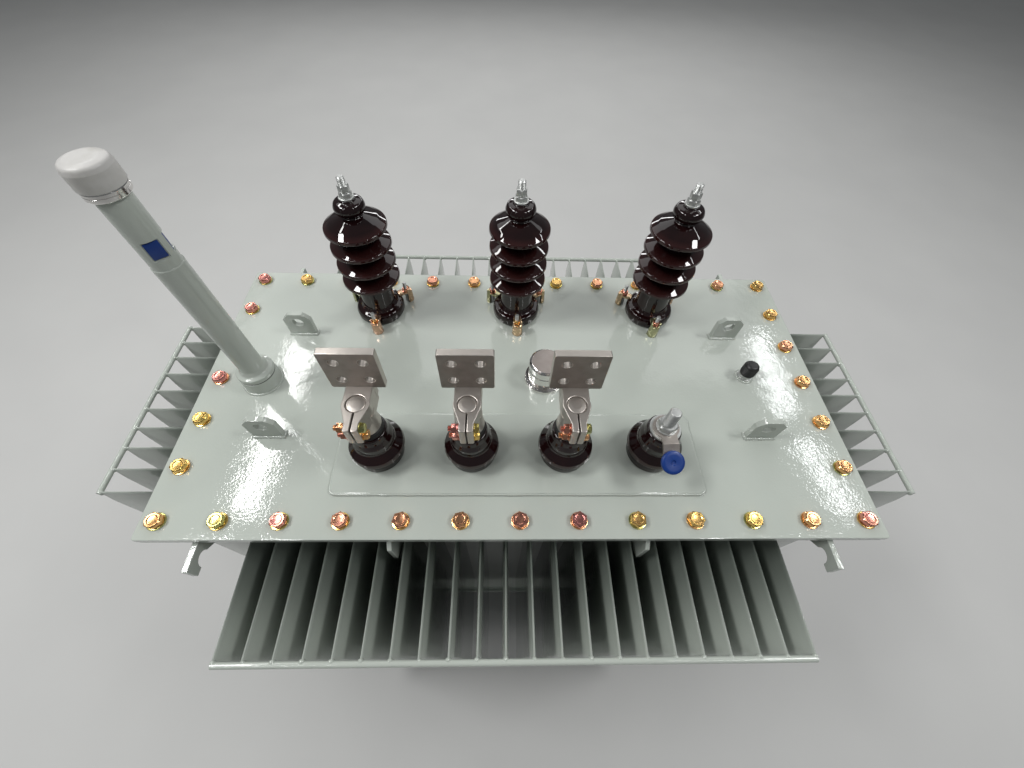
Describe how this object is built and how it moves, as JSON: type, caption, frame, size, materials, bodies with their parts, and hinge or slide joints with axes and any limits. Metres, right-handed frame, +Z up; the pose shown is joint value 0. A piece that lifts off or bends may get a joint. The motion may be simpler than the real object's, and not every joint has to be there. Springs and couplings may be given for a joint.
{
  "type": "oil-filled power transformer with a corrugated tank",
  "caption": "Sealed oil-filled power transformer: corrugated fin tank, bolted cover, high- and low-voltage porcelain bushings, palm clamps, oil gauge and lifting points.",
  "frame": {"origin": "on the floor, under the middle of the tank", "axes": "+X along the tank's long side, to the right seen from the low-voltage side; +Y from the low-voltage side to the high-voltage side; +Z up"},
  "size_m": [1.6082, 0.9802, 1.5033],
  "materials": {
    "tank_paint": "glossy grey-green enamel over welded sheet steel, slight orange peel",
    "core_steel": "lacquered core steel and varnished windings, inside the tank",
    "porcelain": "dark maroon-brown glazed porcelain, very glossy",
    "tinned_metal": "tin-plated brass and copper, satin grey",
    "bright_metal": "polished plated metal with light turning marks",
    "zinc_yellow": "yellow passivated zinc, iridescent gold to pink",
    "white_plastic": "plain white moulded plastic",
    "black_plastic": "black plastic and rubber",
    "blue_plastic": "blue moulded plastic"
  },
  "bodies": {
    "root": {"base_channel_left": "tank_paint", "base_channel_right": "tank_paint", "tank_bottom": "tank_paint", "tank_wall_front": "tank_paint", "tank_wall_back": "tank_paint", "tank_wall_left": "tank_paint", "tank_wall_right": "tank_paint", "core_and_windings": "core_steel", "tank_flange_front": "tank_paint", "tank_flange_back": "tank_paint", "tank_flange_left": "tank_paint", "tank_flange_right": "tank_paint", "cover_plate": "tank_paint", "lv_mounting_plate": "tank_paint", "cover_lug_front_left": "tank_paint", "cover_lug_front_right": "tank_paint", "cover_lug_back_left": "tank_paint", "cover_lug_back_right": "tank_paint", "tank_hook_front_left": "tank_paint", "tank_hook_front_right": "tank_paint", "tank_hook_back_left": "tank_paint", "tank_hook_back_right": "tank_paint", "hv_porcelain_1": "porcelain", "hv_porcelain_2": "porcelain", "hv_porcelain_3": "porcelain", "hv_terminal_1": "tinned_metal", "hv_terminal_2": "tinned_metal", "hv_terminal_3": "tinned_metal", "lv_porcelain_1": "porcelain", "lv_porcelain_2": "porcelain", "lv_porcelain_3": "porcelain", "neutral_porcelain": "porcelain", "lv_stud_1": "tinned_metal", "lv_stud_2": "tinned_metal", "lv_stud_3": "tinned_metal", "lv_palm_clamp_1": "tinned_metal", "lv_palm_clamp_2": "tinned_metal", "lv_palm_clamp_3": "tinned_metal", "neutral_spindle": "tinned_metal", "neutral_nut": "tinned_metal", "neutral_lug": "tinned_metal", "neutral_cap": "blue_plastic", "gauge_pipe": "tank_paint", "gauge_ring": "bright_metal", "gauge_cap": "white_plastic", "relief_valve": "bright_metal", "thermometer_pocket": "bright_metal", "pocket_cap": "black_plastic"}
  },
  "joints": []
}
